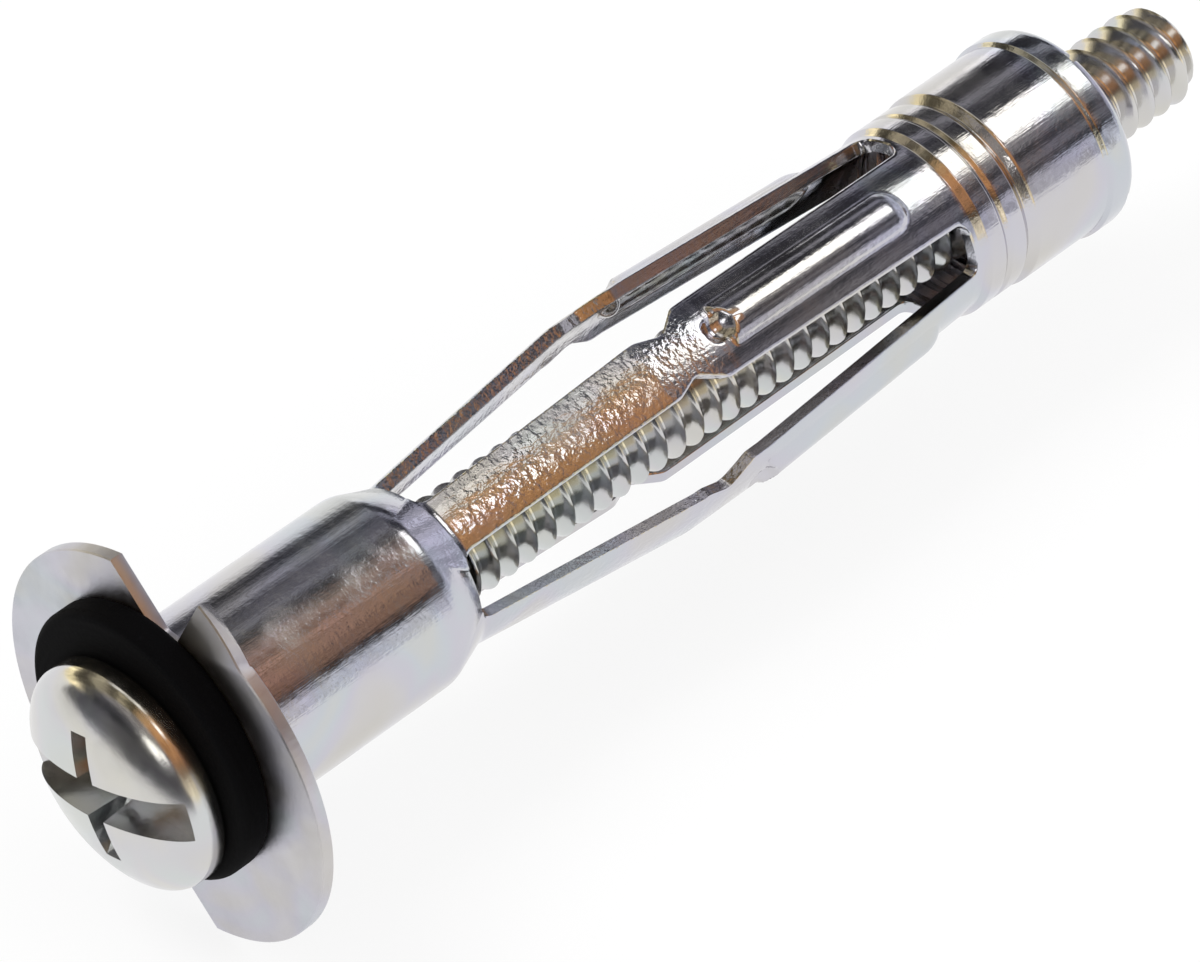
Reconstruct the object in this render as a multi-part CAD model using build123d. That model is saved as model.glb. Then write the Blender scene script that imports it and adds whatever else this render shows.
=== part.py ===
from build123d import *
import math
import os

# A hollow wall anchor (a pressed steel sleeve that folds out behind a board),
# with its screw, its black sealing ring and the nut that is crimped in its tail.
#
# Frame: millimetres. The origin is the centre of the flange's back face, which
# bears on the wall. +X runs along the anchor's axis into the wall, +Z is up.
# Angles round the axis are measured from +Z towards -Y.

# ---------------------------------------------------------------- sleeve sizes
SHEET = 0.6              # gauge of the strip that the sleeve is pressed from
FLANGE_D = 17.8
COLLAR_D = 8.9           # smooth tube that fills the hole in the board
COLLAR_BEND_R = 0.4      # bend between flange and collar, on the wall side
SHOULDER_X = 11.3        # where the collar starts to narrow
NECK_X = 13.2            # where the narrow end of the shoulder is reached
NECK_D = 7.5
SHOULDER_R = 1.6
NECK_R = 0.9
LEG_COUNT = 4
LEG_ANGLE = 23.5         # direction of the first leg
ROOT_X = 13.0            # front end of the slots between the legs
ROOT_ROUND = 0.6         # rounding of the slots' front ends
ELBOW_X = 24.3           # where a leg stops rising
PINCH_X = 24.7           # where a leg starts to narrow to its waist
WAIST_X = 25.9           # where a leg is narrowest, so that it folds there
HIP_X = 27.2             # first full width behind the waist
CREST_END_X = 28.0       # where a leg starts to come back in
CREST_R = 2.5            # bends at the two ends of a leg's crest
ELBOW_D = 10.0
LEG_END_X = 41.3         # rear end of the slots
BAND_X = 41.6            # where the plain band starts, a step above the legs
LEG_END_D = 8.6
ROOT_WIDTH = 2.65
ELBOW_WIDTH = 3.05
WAIST_WIDTH = 2.15
HIP_WIDTH = 3.8
PINCH_ROUNDS = (1.0, 0.6, 0.7)   # roundings at pinch, waist and hip
LEG_END_WIDTH = 4.1
LEG_END_ROUND = 0.5      # rounding of the slots' rear ends
BEAD_WIDTH = 2.1         # stiffening bead pressed along the rear of each leg
BEAD_HEIGHT = 0.36
BEAD_START_X = 28.3
BEAD_END_X = 39.2
DIMPLE_R = 0.7           # ball that presses the dimple in front of the bead
DIMPLE_DEPTH = 0.35
RING_D = 9.0             # plain band behind the legs
RING_STEP = 0.35         # length of the step up to a band
GROOVE_X = 44.4          # groove pressed in front of the nut
GROOVE_D = 8.5
GROOVE_WIDTH = 0.7
RIDGE_X = 43.0           # faint line that parts the band in two
RIDGE_DEPTH = 0.12
RIDGE_WIDTH = 0.4
CUP_D = 9.2              # cup that holds the nut
LIP_X = 49.0             # where the cup's rolled lip starts
LIP_D = 9.5
SLEEVE_END_X = 50.7
LIP_BORE_D = 6.6         # opening left by the rolled lip
LIP_GAPS = 4             # the lip is rolled in as this many tabs
LIP_GAP_WIDTH = 0.5
LIP_GAP_ANGLE = 12.0     # direction of the first gap between the tabs

# ------------------------------------------------------------- flange notches
NOTCH_DEPTH_R = 6.15     # radius of the notch's bottom
NOTCH_LEAN = 16.5        # rim angle of the slanting side, towards +Y
NOTCH_UPRIGHT = 11.0     # rim angle of the upright side, towards -Y
NOTCH_FLOOR = 0.9        # width of the notch's bottom
NOTCH_FLOOR_R = 0.4
CORNER_FOLD_ANGLE = 32.0 # rim angle where the bent corner's fold line ends
CORNER_BEND = 18.0       # how far the corner is bent back, in degrees

# ------------------------------------------------------------------ the screw
SCREW_D = 4.65           # outside diameter of the thread
SCREW_PITCH = 1.058
SCREW_TAIL = 6.8         # length that stands out of the sleeve
SCREW_TAIL_CHAMFER = 0.45
HEAD_D = 10.1
HEAD_EDGE = 0.75         # height of the head's straight edge
HEAD_HEIGHT = 2.55
SLOT_WIDTH = 1.8
SLOT_DEPTH = 1.7
SLOT_ANGLE = 74.0        # direction of the slot
SLOT_SAW_D = 60.0        # the slot's floor is this round
SLOT_SHIFT = 0.8         # how far the slot is off centre
CROSS_WIDTH = 0.95
CROSS_TAPER = 0.6        # width of the recess at its floor over that at its mouth
CROSS_LENGTH = 6.8
CROSS_DEPTH = 2.0
CROSS_TIP = 2.0          # length of the cross recess at its floor

# --------------------------------------------------------------- ring and nut
RING_THICK = 1.4
SEAL_D = 12.2
SEAL_ROUND = 0.35
SEAL_CLEARANCE = 0.08    # gap between ring and screw where they are nearest
SEAL_SHIFT = 1.0         # the loose ring sits this far above the screw's axis
THREAD_CLEARANCE = 0.03  # radial gap between nut bore and screw
NUT_CLEARANCE = 0.03     # radial gap between nut and cup
NUT_SEAT = 0.03          # gap at each end of the nut
NUT_CHAMFER = 0.35


def about_axis(angle):
    """Turn about the anchor's axis, from +Z towards -Y by angle degrees."""
    return Rot(X=angle)


def turned(points):
    """Solid of revolution about the anchor's axis, from (x, radius) points."""
    outline = make_face(Polyline(*points, close=True))
    return revolve(Plane.XZ * outline, Axis.X)


def rim_point(angle, radius):
    """Point (y, z) of the flange, at an angle from +Z towards -Y."""
    turn = math.radians(angle)
    return (-radius * math.sin(turn), radius * math.cos(turn))


# ------------------------------------------------------- places that follow
FLANGE_R = FLANGE_D / 2
SCREW_R = SCREW_D / 2
HEAD_SEAT_X = -SHEET - RING_THICK
HEAD_TOP_X = HEAD_SEAT_X - HEAD_HEIGHT
TAIL_X = SLEEVE_END_X + SCREW_TAIL
CUP_BORE_R = CUP_D / 2 - SHEET
NUT_ROOM_START_X = GROOVE_X + GROOVE_WIDTH / 2
NUT_ROOM_END_X = SLEEVE_END_X - SHEET
BEAD_R = (BEAD_WIDTH**2 / 4 + BEAD_HEIGHT**2) / (2 * BEAD_HEIGHT)


def pressed_strip():
    """Flange, collar, shoulder and legs as one strip of even gauge, spun round."""
    outside = FilletPolyline(
        (0, FLANGE_R),
        (0, COLLAR_D / 2),
        (SHOULDER_X, COLLAR_D / 2),
        (NECK_X, NECK_D / 2),
        (ELBOW_X, ELBOW_D / 2),
        (CREST_END_X, ELBOW_D / 2),
        (LEG_END_X, LEG_END_D / 2),
        (LEG_END_X + RING_STEP, LEG_END_D / 2),
        radius=[COLLAR_BEND_R, SHOULDER_R, NECK_R, CREST_R, CREST_R, 0],
    )
    section = make_face(offset(outside, amount=SHEET, side=Side.RIGHT).edges())
    return revolve(Plane.XZ * section, Axis.X)


def nut_cup():
    """Band, groove, cup and rolled lip behind the legs."""
    band_r = RING_D / 2
    step_end = BAND_X + RING_STEP
    lip_round = SHEET
    cup = turned(
        [
            (LEG_END_X, LEG_END_D / 2 - SHEET),
            (LEG_END_X, LEG_END_D / 2),
            (BAND_X, LEG_END_D / 2),
            (step_end, band_r),
            (RIDGE_X - RIDGE_WIDTH / 2, band_r),
            (RIDGE_X, band_r - RIDGE_DEPTH),
            (RIDGE_X + RIDGE_WIDTH / 2, band_r),
            (GROOVE_X - GROOVE_WIDTH / 2, band_r),
            (GROOVE_X, GROOVE_D / 2),
            (NUT_ROOM_START_X, CUP_D / 2),
            (LIP_X, CUP_D / 2),
            (LIP_X + (LIP_D - CUP_D) / 2, LIP_D / 2),
            (SLEEVE_END_X - lip_round, LIP_D / 2),
            (SLEEVE_END_X, LIP_D / 2 - lip_round),
            (SLEEVE_END_X, LIP_BORE_D / 2),
            (NUT_ROOM_END_X, LIP_BORE_D / 2),
            (NUT_ROOM_END_X, CUP_BORE_R),
            (NUT_ROOM_START_X, CUP_BORE_R),
            (NUT_ROOM_START_X, GROOVE_D / 2 - SHEET),
            (GROOVE_X - GROOVE_WIDTH / 2, GROOVE_D / 2 - SHEET),
            (GROOVE_X - GROOVE_WIDTH, band_r - SHEET),
            (step_end, band_r - SHEET),
        ]
    )
    gap = Pos(SLEEVE_END_X, 0, LIP_D / 2) * Box(2 * SHEET, LIP_GAP_WIDTH, LIP_D)
    for number in range(LIP_GAPS):
        cup -= about_axis(LIP_GAP_ANGLE + number * 360 / LIP_GAPS) * gap
    return cup


def leg_outline():
    """One leg seen from outside, with the flared ends that round its slots."""
    flare = LEG_END_D
    half = FilletPolyline(
        (ROOT_X - 1, 0),
        (ROOT_X - 1, flare),
        (ROOT_X, flare),
        (ROOT_X, ROOT_WIDTH / 2),
        (PINCH_X, ELBOW_WIDTH / 2),
        (WAIST_X, WAIST_WIDTH / 2),
        (HIP_X, HIP_WIDTH / 2),
        (LEG_END_X, LEG_END_WIDTH / 2),
        (LEG_END_X, flare),
        (LEG_END_X + 1, flare),
        (LEG_END_X + 1, 0),
        radius=[0, 0, ROOT_ROUND, *PINCH_ROUNDS, LEG_END_ROUND, 0, 0],
    )
    upper = make_face(half.edges() + [Line((LEG_END_X + 1, 0), (ROOT_X - 1, 0)).edge()])
    return upper + mirror(upper, Plane.XZ)


def leg_surface(x):
    """Outside radius of a leg's rear half at a station."""
    share = (x - CREST_END_X) / (LEG_END_X - CREST_END_X)
    return (ELBOW_D + share * (LEG_END_D - ELBOW_D)) / 2


def slots():
    """What is cut out between the legs."""
    inner_r = SCREW_R + THREAD_CLEARANCE
    outer_r = ELBOW_D / 2 + BEAD_HEIGHT + SHEET
    room = turned([(ROOT_X, inner_r), (LEG_END_X, inner_r), (LEG_END_X, outer_r), (ROOT_X, outer_r)])
    leg = extrude(Pos(0, 0, inner_r / 2) * leg_outline(), amount=outer_r)
    for number in range(LEG_COUNT):
        room -= about_axis(LEG_ANGLE + number * 360 / LEG_COUNT) * leg
    return room


def bead_rod(sunk, start_x):
    """Round-ended rod along a leg, sunk below the bead's outside, from start_x."""
    rod_r = BEAD_R - sunk
    end_x = BEAD_END_X - BEAD_WIDTH / 2
    start = Vector(start_x, 0, leg_surface(start_x) + BEAD_HEIGHT - BEAD_R)
    end = Vector(end_x, 0, leg_surface(end_x) + BEAD_HEIGHT - BEAD_R)
    length = (end - start).length
    nose = CenterArc((length, 0), rod_r, start_angle=0, arc_size=90)
    flank = Polyline((length + rod_r, 0), (0, 0), (0, rod_r), (length, rod_r))
    rod = revolve(Plane.XZ * make_face(flank.edges() + nose.edges()), Axis.X)
    return Plane(origin=start, x_dir=end - start, z_dir=(0, 1, 0)) * rod


def bead():
    """The raised half of the bead, which stands on the leg's outside."""
    mid = SHEET / 2
    core = turned(
        [
            (WAIST_X, 0),
            (WAIST_X, leg_surface(WAIST_X) - mid),
            (LEG_END_X, leg_surface(LEG_END_X) - mid),
            (LEG_END_X, 0),
        ]
    )
    return bead_rod(0, BEAD_START_X) - core


def bead_hollow():
    """The bead's underside, and the dimple in front of it."""
    dimple_z = leg_surface(BEAD_START_X) - DIMPLE_DEPTH + DIMPLE_R
    dimple = Pos(BEAD_START_X - DIMPLE_R / 2, 0, dimple_z) * Sphere(DIMPLE_R, rotation=(90, 0, 0))
    return bead_rod(SHEET, BEAD_START_X + SHEET) + dimple


def notch():
    """Prism that cuts the flange's upper notch."""
    reach = FLANGE_R + 1.5
    floor_upright = (-NOTCH_FLOOR, NOTCH_DEPTH_R)
    floor_lean = (0, NOTCH_DEPTH_R)
    upright = Vector(*rim_point(NOTCH_UPRIGHT, FLANGE_R)) - Vector(*floor_upright)
    lean = Vector(*rim_point(-NOTCH_LEAN, FLANGE_R)) - Vector(*floor_lean)
    upright_end = Vector(*floor_upright) + upright * (reach / FLANGE_R * 2)
    lean_end = Vector(*floor_lean) + lean * (reach / FLANGE_R * 2)
    outline = FilletPolyline(
        floor_upright,
        (upright_end.X, upright_end.Y),
        (lean_end.X, lean_end.Y),
        floor_lean,
        close=True,
        radius=[NOTCH_FLOOR_R, 0, 0, NOTCH_FLOOR_R],
    )
    return extrude(Plane.YZ * make_face(outline), amount=2 * SHEET, both=True)


def fold_ends():
    """Ends (y, z) of the line about which a flange corner is bent back."""
    side = rim_point(NOTCH_UPRIGHT, NOTCH_DEPTH_R + NOTCH_FLOOR_R)
    rim = rim_point(CORNER_FOLD_ANGLE, FLANGE_R)
    return Vector(0, *side), Vector(0, *rim)


def corner_block():
    """Block that holds the flange corner outside the fold line."""
    side, rim = fold_ends()
    along = (rim - side).normalized()
    outward = Vector(0, -along.Z, along.Y) * -1
    start = side - along * (NOTCH_FLOOR / 3)
    end = rim + along * 2
    outline = Polyline(start, end, end + outward * 4, start + outward * 4, close=True)
    return extrude(make_face(outline), amount=2 * SHEET, both=True, dir=(1, 0, 0))


def flange_half(body):
    """Cut one notch and bend back the flange corner beside it."""
    side, rim = fold_ends()
    plate = body - notch()
    corner = plate & corner_block()
    plate -= corner_block()
    crease = Axis(rim + Vector(-SHEET, 0, 0), side - rim)
    return plate + corner.rotate(crease, CORNER_BEND)


def build_sleeve():
    """The sleeve: one pressed piece, from the flange to the rolled lip."""
    strip = pressed_strip() - slots()
    flange = strip & Pos(-SHEET, 0, 0) * Cylinder(
        2 * FLANGE_R, SHEET, rotation=(0, 90, 0), align=(Align.CENTER, Align.CENTER, Align.MIN)
    )
    rest = strip - flange
    half_turn = about_axis(180)
    for _ in range(2):
        flange = half_turn * flange_half(flange)
    sleeve = flange + rest + nut_cup()
    for number in range(LEG_COUNT):
        turn = about_axis(LEG_ANGLE + number * 360 / LEG_COUNT)
        sleeve += turn * bead()
        sleeve -= turn * bead_hollow()
    return sleeve


def build_screw():
    """The screw: domed head with slot and cross, and shank at thread diameter."""
    head_r = HEAD_D / 2
    edge_x = HEAD_SEAT_X - HEAD_EDGE
    dome_h = HEAD_HEIGHT - HEAD_EDGE
    dome = EllipticalCenterArc((edge_x, 0), dome_h, head_r, start_angle=90, arc_size=90)
    rest = Polyline((HEAD_TOP_X, 0), (HEAD_SEAT_X, 0), (HEAD_SEAT_X, head_r), (edge_x, head_r))
    head = revolve(Plane.XZ * make_face(dome.edges() + rest.edges()), Axis.X)
    shank = turned(
        [
            (HEAD_SEAT_X - HEAD_EDGE, 0),
            (HEAD_SEAT_X - HEAD_EDGE, SCREW_R),
            (TAIL_X - SCREW_TAIL_CHAMFER, SCREW_R),
            (TAIL_X, SCREW_R - SCREW_TAIL_CHAMFER),
            (TAIL_X, 0),
        ]
    )
    saw_r = SLOT_SAW_D / 2
    saw = Pos(HEAD_TOP_X + SLOT_DEPTH - saw_r, 0, -SLOT_SHIFT) * Cylinder(
        saw_r, SLOT_WIDTH, rotation=(90, 0, 0)
    )
    mouth = Rectangle(CROSS_WIDTH, CROSS_LENGTH)
    floor = Rectangle(CROSS_WIDTH * CROSS_TAPER, CROSS_TIP)
    wing = loft([Plane.YZ.offset(HEAD_TOP_X) * mouth, Plane.YZ.offset(HEAD_TOP_X + CROSS_DEPTH) * floor])
    recess = about_axis(SLOT_ANGLE) * (saw + wing) + about_axis(SLOT_ANGLE + 90) * wing
    return head + shank - recess


def build_seal():
    """The black ring between the screw's head and the flange."""
    bore_r = SCREW_R + SEAL_SHIFT + SEAL_CLEARANCE
    section = Pos(HEAD_SEAT_X + RING_THICK / 2, (bore_r + SEAL_D / 2) / 2) * RectangleRounded(
        RING_THICK, SEAL_D / 2 - bore_r, SEAL_ROUND
    )
    return Pos(0, 0, SEAL_SHIFT) * revolve(Plane.XZ * section, Axis.X)


def build_nut():
    """The nut in the cup, bored to the thread's outside diameter."""
    bore_r = SCREW_R + THREAD_CLEARANCE
    outer_r = CUP_BORE_R - NUT_CLEARANCE
    start = NUT_ROOM_START_X + NUT_SEAT
    end = NUT_ROOM_END_X - NUT_SEAT
    return turned(
        [
            (start, bore_r),
            (start, outer_r - NUT_CHAMFER),
            (start + NUT_CHAMFER, outer_r),
            (end - NUT_CHAMFER, outer_r),
            (end, outer_r - NUT_CHAMFER),
            (end, bore_r),
        ]
    )


PIECES = {
    "sleeve": build_sleeve,
    "screw": build_screw,
    "sealing_ring": build_seal,
    "nut": build_nut,
}

if __name__ == "__main__":
    os.makedirs("parts", exist_ok=True)
    for name, build in PIECES.items():
        export_step(build(), f"parts/{name}.step")
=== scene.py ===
"""Looks of a hollow wall anchor: the plated sleeve, its screw, the black ring and the nut."""

import logging
import math
from dataclasses import dataclass, field
from enum import Enum
from typing import Sequence

import bmesh
import bpy
import numpy as np
from mathutils import Matrix, Vector


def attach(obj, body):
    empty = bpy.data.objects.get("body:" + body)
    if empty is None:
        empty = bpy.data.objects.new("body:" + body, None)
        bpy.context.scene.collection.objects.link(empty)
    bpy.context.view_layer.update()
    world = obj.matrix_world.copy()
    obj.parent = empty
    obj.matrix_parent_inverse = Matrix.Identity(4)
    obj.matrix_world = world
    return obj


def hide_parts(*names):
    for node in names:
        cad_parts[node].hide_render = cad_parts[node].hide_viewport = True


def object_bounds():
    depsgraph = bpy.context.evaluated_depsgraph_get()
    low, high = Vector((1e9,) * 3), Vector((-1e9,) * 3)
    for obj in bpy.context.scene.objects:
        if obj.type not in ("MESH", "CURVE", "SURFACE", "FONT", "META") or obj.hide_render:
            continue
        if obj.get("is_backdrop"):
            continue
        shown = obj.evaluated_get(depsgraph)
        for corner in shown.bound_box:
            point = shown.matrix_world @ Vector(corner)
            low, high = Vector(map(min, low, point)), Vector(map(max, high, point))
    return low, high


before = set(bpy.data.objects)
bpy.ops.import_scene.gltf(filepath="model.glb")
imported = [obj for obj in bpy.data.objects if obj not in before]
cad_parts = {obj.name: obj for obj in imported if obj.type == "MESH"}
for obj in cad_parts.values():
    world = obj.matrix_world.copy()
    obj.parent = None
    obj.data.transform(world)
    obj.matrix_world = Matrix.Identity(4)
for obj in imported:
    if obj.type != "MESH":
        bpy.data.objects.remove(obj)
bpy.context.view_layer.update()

LOG = logging.getLogger("wall_anchor")
MM = 0.001
MERGE_DISTANCE = 1e-7
ALMOST = 1e-6
Pair = tuple[float, float]
Colour = tuple[float, float, float, float]
Stops = Sequence[tuple[float, tuple[float, float, float]]]

# Where the finish of the pressed sheet changes along the axis, in metres.
LEG_PEEL_RISE: Pair = (13.2 * MM, 14.2 * MM)
LEG_PEEL_FALL: Pair = (27.6 * MM, 26.8 * MM)
FLANGE_FRONT: Pair = (0.3 * MM, 0.05 * MM)

FILM_HUES: Stops = (
    (0.0, (1.0, 0.93, 0.74)), (0.35, (1.0, 0.95, 0.9)), (0.55, (0.93, 0.9, 1.0)),
    (0.78, (0.88, 0.97, 1.0)), (1.0, (0.97, 1.0, 0.88)),
)

# Walls of the mirrored room, by share of the turn round the long axis.
WARM_WALLS: Stops = (
    (0.0, (0.95, 0.95, 0.95)), (0.05, (0.95, 0.95, 0.95)), (0.075, (0.10, 0.10, 0.11)),
    (0.16, (0.04, 0.04, 0.045)), (0.22, (0.42, 0.42, 0.45)), (0.30, (0.06, 0.06, 0.07)),
    (0.38, (0.26, 0.26, 0.28)), (0.45, (0.05, 0.05, 0.05)), (0.52, (0.36, 0.27, 0.22)),
    (0.62, (0.46, 0.27, 0.19)), (0.80, (0.30, 0.17, 0.12)), (0.865, (0.02, 0.02, 0.025)),
    (0.885, (0.55, 0.55, 0.62)), (1.0, (0.85, 0.85, 0.92)),
)
COOL_WALLS: Stops = (
    (0.0, (0.95, 0.95, 0.95)), (0.07, (0.9, 0.9, 0.95)), (0.10, (0.06, 0.06, 0.07)),
    (0.20, (0.03, 0.03, 0.035)), (0.26, (0.30, 0.30, 0.34)), (0.33, (0.04, 0.04, 0.05)),
    (0.43, (0.09, 0.09, 0.10)), (0.60, (0.10, 0.09, 0.09)), (0.67, (0.34, 0.33, 0.35)),
    (0.73, (0.05, 0.05, 0.06)), (0.80, (0.22, 0.21, 0.23)), (0.86, (0.06, 0.06, 0.07)),
    (0.89, (0.5, 0.5, 0.57)), (1.0, (0.8, 0.8, 0.88)),
)
# The wall behind the head, by height.
BEHIND_WALL: Stops = (
    (0.0, (0.7, 0.7, 0.72)), (0.03, (0.12, 0.12, 0.13)), (0.2, (0.04, 0.04, 0.045)),
    (0.42, (0.10, 0.10, 0.11)), (0.62, (0.35, 0.33, 0.32)), (1.0, (0.3, 0.28, 0.27)),
)
CARD_GREYS: Stops = ((0.0, (0.03, 0.03, 0.035)), (1.0, (0.2, 0.2, 0.21)))
# Direction and half angle in degrees of each round lamp pane in the walls.
LAMP_PANES = (((-0.90, -0.20, 0.38), 8.5), ((-0.78, -0.42, 0.46), 5.0), ((0.15, -0.35, 0.92), 7.0))
PANE_BLUR = 1.5
WINDOW_STRENGTH = 2.2


class Metal(Enum):
    """How a plated steel surface was worked before it was plated."""

    PRESSED = "pressed"
    HEADED = "headed"
    TURNED = "turned"


# ------------------------------------------------------------------ outlines


def rounded(points: Sequence[Pair], radii: Sequence[float], steps: int = 6) -> np.ndarray:
    """Line through points with its inner corners rounded.

    Args:
        points: Corners of the line, in order.
        radii: One radius for each inner corner.
        steps: Points on each rounding, less one.

    Returns:
        The line's points, one row each.
    """
    line = [np.array(points[0], float)]
    for index, radius in enumerate(radii, start=1):
        before, corner, after = (np.array(p, float) for p in points[index - 1 : index + 2])
        way_in = (before - corner) / np.linalg.norm(before - corner)
        way_out = (after - corner) / np.linalg.norm(after - corner)
        half = math.acos(float(np.clip(way_in @ way_out, -1, 1))) / 2
        if radius == 0 or half > math.radians(89.9):
            line.append(corner)
            continue
        reach = radius / math.tan(half)
        middle = way_in + way_out
        centre = corner + middle / np.linalg.norm(middle) * radius / math.sin(half)
        first = corner + way_in * reach - centre
        last = corner + way_out * reach - centre
        sweep = math.pi - 2 * half
        for step in range(steps + 1):
            share = step / steps
            arc = math.sin((1 - share) * sweep) * first + math.sin(share * sweep) * last
            line.append(centre + arc / math.sin(sweep))
    line.append(np.array(points[-1], float))
    return np.array(line)


def eased(value: np.ndarray | float) -> np.ndarray | float:
    """Smooth step of a value, from 0 at 0 to 1 at 1."""
    share = np.clip(value, 0, 1)
    return share * share * (3 - 2 * share)


def clean(mesh: bpy.types.Mesh, sharp: float) -> None:
    """Merge doubled points, turn faces outward and shade smooth up to an angle in degrees."""
    shell = bmesh.new()
    shell.from_mesh(mesh)
    bmesh.ops.remove_doubles(shell, verts=shell.verts, dist=MERGE_DISTANCE)
    bmesh.ops.recalc_face_normals(shell, faces=shell.faces)
    shell.to_mesh(mesh)
    shell.free()
    mesh.polygons.foreach_set("use_smooth", [True] * len(mesh.polygons))
    mesh.set_sharp_from_angle(angle=math.radians(sharp))


def placed(name: str, data: bpy.types.ID) -> bpy.types.Object:
    """Object of the data at the origin, linked to the scene."""
    thing = bpy.data.objects.new(name, data)
    bpy.context.scene.collection.objects.link(thing)
    return thing


def mesh_object(
    name: str, points: np.ndarray, faces: Sequence[Sequence[int]], sharp: float
) -> bpy.types.Object:
    """Object at the origin from points in millimetres.

    Args:
        name: Name of the object.
        points: The vertices, in millimetres.
        faces: The faces, as rows of vertex numbers.
        sharp: Angle in degrees past which an edge is shaded as an edge.

    Returns:
        The new object, linked to the scene.
    """
    mesh = bpy.data.meshes.new(name)
    rows = [list(map(int, face)) for face in faces]
    mesh.from_pydata((np.asarray(points) * MM).tolist(), [], rows)
    clean(mesh, sharp)
    return placed(name, mesh)


def mirror_only(thing: bpy.types.Object) -> None:
    """Hide a thing from every ray but mirror rays."""
    for ray in ("camera", "diffuse", "transmission", "volume_scatter", "shadow"):
        setattr(thing, f"visible_{ray}", False)


# ------------------------------------------------------------ shader helpers


class Graph:
    """Short calls for adding nodes to a shader or geometry tree."""

    def __init__(self, tree: bpy.types.NodeTree) -> None:
        """Keep the tree that nodes are added to."""
        self.tree = tree

    def add(self, kind: str, values: dict | None = None, **settings: object) -> bpy.types.Node:
        """Add a node, set its own settings and fill or link its inputs.

        Args:
            kind: The node's type name.
            values: Input name or number to a value or an output socket.
            settings: Attributes of the node.

        Returns:
            The node.
        """
        node = self.tree.nodes.new(kind)
        for key, value in settings.items():
            setattr(node, key, value)
        for key, value in (values or {}).items():
            if isinstance(value, bpy.types.NodeSocket):
                self.tree.links.new(value, node.inputs[key])
            else:
                node.inputs[key].default_value = value
        return node

    def maths(self, operation: str, *terms: object, clamp: bool = False) -> bpy.types.NodeSocket:
        """Result of a maths node on numbers or sockets."""
        values = dict(enumerate(terms))
        return self.add("ShaderNodeMath", values, operation=operation, use_clamp=clamp).outputs[0]

    def ranged(
        self, value: object, low: float, high: float, to_low: float = 0.0, to_high: float = 1.0,
        smooth: bool = False,
    ) -> bpy.types.NodeSocket:
        """Value mapped from one range to another, and held inside it."""
        kind = "SMOOTHSTEP" if smooth else "LINEAR"
        values = {0: value, 1: low, 2: high, 3: to_low, 4: to_high}
        return self.add("ShaderNodeMapRange", values, interpolation_type=kind).outputs[0]

    def band(self, value: object, rise: Pair, fall: Pair, smooth: bool = True) -> bpy.types.NodeSocket:
        """1 between a rise and a fall of a value, and 0 outside them."""
        up = self.ranged(value, *rise, smooth=smooth)
        return self.maths("MULTIPLY", up, self.ranged(value, *fall, smooth=smooth))

    def noise(
        self, place: object, scale: object, detail: float = 3.0, rough: float = 0.55,
        distortion: float = 0.0,
    ) -> bpy.types.NodeSocket:
        """Factor of a noise texture at a place."""
        values = {"Vector": place, "Scale": scale, "Detail": detail, "Roughness": rough,
                  "Distortion": distortion}
        return self.add("ShaderNodeTexNoise", values).outputs[0]

    def mixed(self, share: object, first: object, second: object) -> bpy.types.NodeSocket:
        """Colour between two colours."""
        node = self.add("ShaderNodeMix", {0: share, 6: first, 7: second}, data_type="RGBA")
        return node.outputs[2]

    def multiplied(self, share: object, first: object, second: object) -> bpy.types.NodeSocket:
        """First colour multiplied by the second, by a share."""
        values = {0: share, 6: first, 7: second}
        return self.add("ShaderNodeMix", values, data_type="RGBA", blend_type="MULTIPLY").outputs[2]

    def seen_rays(self) -> bpy.types.NodeSocket:
        """1 for camera, mirror and transmission rays, and 0 for the rays that light things."""
        rays = self.add("ShaderNodeLightPath").outputs
        direct = self.maths("ADD", rays["Is Camera Ray"], rays["Is Glossy Ray"], clamp=True)
        return self.maths("ADD", direct, rays["Is Transmission Ray"], clamp=True)

    def ramp(self, value: object, stops: Stops) -> bpy.types.NodeSocket:
        """Colour of a ramp at a value."""
        node = self.add("ShaderNodeValToRGB", {0: value})
        marks = node.color_ramp.elements
        while len(marks) < len(stops):
            marks.new(1.0)
        for mark, (place, colour) in zip(marks, stops):
            mark.position = place
            mark.color = (*colour, 1.0)
        return node.outputs[0]


def new_material(name: str) -> tuple[bpy.types.Material, Graph, bpy.types.Node]:
    """Empty material with its output node."""
    material = bpy.data.materials.new(name)
    material.use_nodes = True
    material.node_tree.nodes.clear()
    graph = Graph(material.node_tree)
    return material, graph, graph.add("ShaderNodeOutputMaterial")


def new_group(
    name: str, inputs: Sequence[tuple[str, str, object]], outputs: Sequence[tuple[str, str]]
) -> tuple[bpy.types.NodeTree, Graph, bpy.types.Node, bpy.types.Node]:
    """Shader node group with named sockets.

    Args:
        name: Name of the group.
        inputs: Name, socket type and default of each input.
        outputs: Name and socket type of each output.

    Returns:
        The group, its graph, its input node and its output node.
    """
    group = bpy.data.node_groups.new(name, "ShaderNodeTree")
    for label, kind, default in inputs:
        socket = group.interface.new_socket(name=label, in_out="INPUT", socket_type=kind)
        if default is not None:
            socket.default_value = default
    for label, kind in outputs:
        group.interface.new_socket(name=label, in_out="OUTPUT", socket_type=kind)
    graph = Graph(group)
    return group, graph, graph.add("NodeGroupInput"), graph.add("NodeGroupOutput")


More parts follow.
